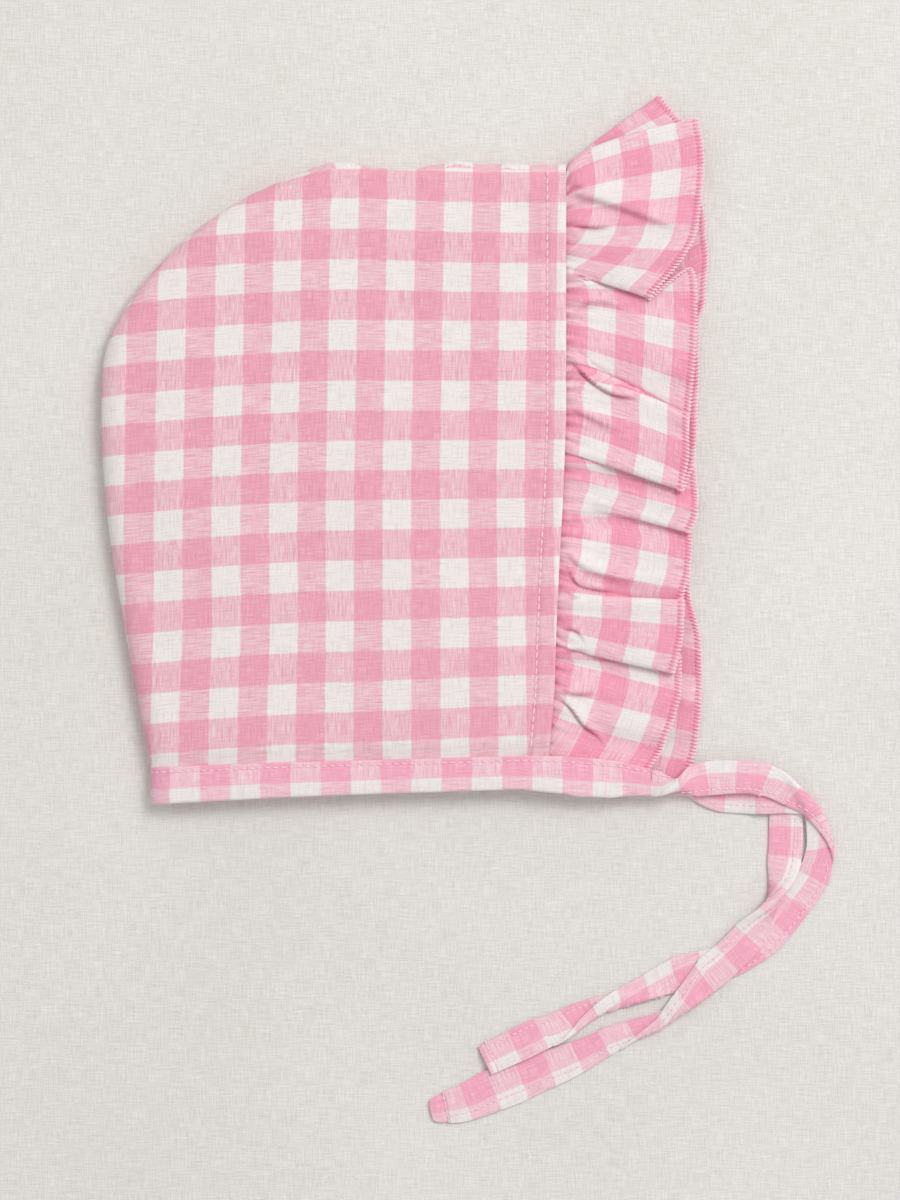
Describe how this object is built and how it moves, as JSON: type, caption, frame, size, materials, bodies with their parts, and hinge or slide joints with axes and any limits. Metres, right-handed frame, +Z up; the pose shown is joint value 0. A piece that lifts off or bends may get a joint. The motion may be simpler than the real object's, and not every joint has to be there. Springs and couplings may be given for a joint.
{
  "type": "baby sun bonnet",
  "caption": "Baby's cotton sun bonnet lying flat on its side: seamed two-panel hood, gathered ruffle round the face, folded neck band and two free ties.",
  "frame": {"origin": "middle of the hood's outline, on the lower panel's flat underside that rests on the surface", "axes": "+X towards the face opening, +Y towards the crown, +Z up from the surface that the bonnet lies on"},
  "size_m": [0.2358, 0.3302, 0.0111],
  "materials": {
    "hood_gingham": "woven pink and white checked cotton, matt, softly creased",
    "ruffle_gingham": "the same checked cotton, gathered, with a pink overlocked edge",
    "band_gingham": "the same checked cotton, folded double and stitched along one edge"
  },
  "bodies": {
    "root": {"right_side_panel": "hood_gingham", "left_side_panel": "hood_gingham", "ruffle": "ruffle_gingham", "neck_band": "band_gingham", "right_tie": "band_gingham", "left_tie": "band_gingham"}
  },
  "joints": []
}
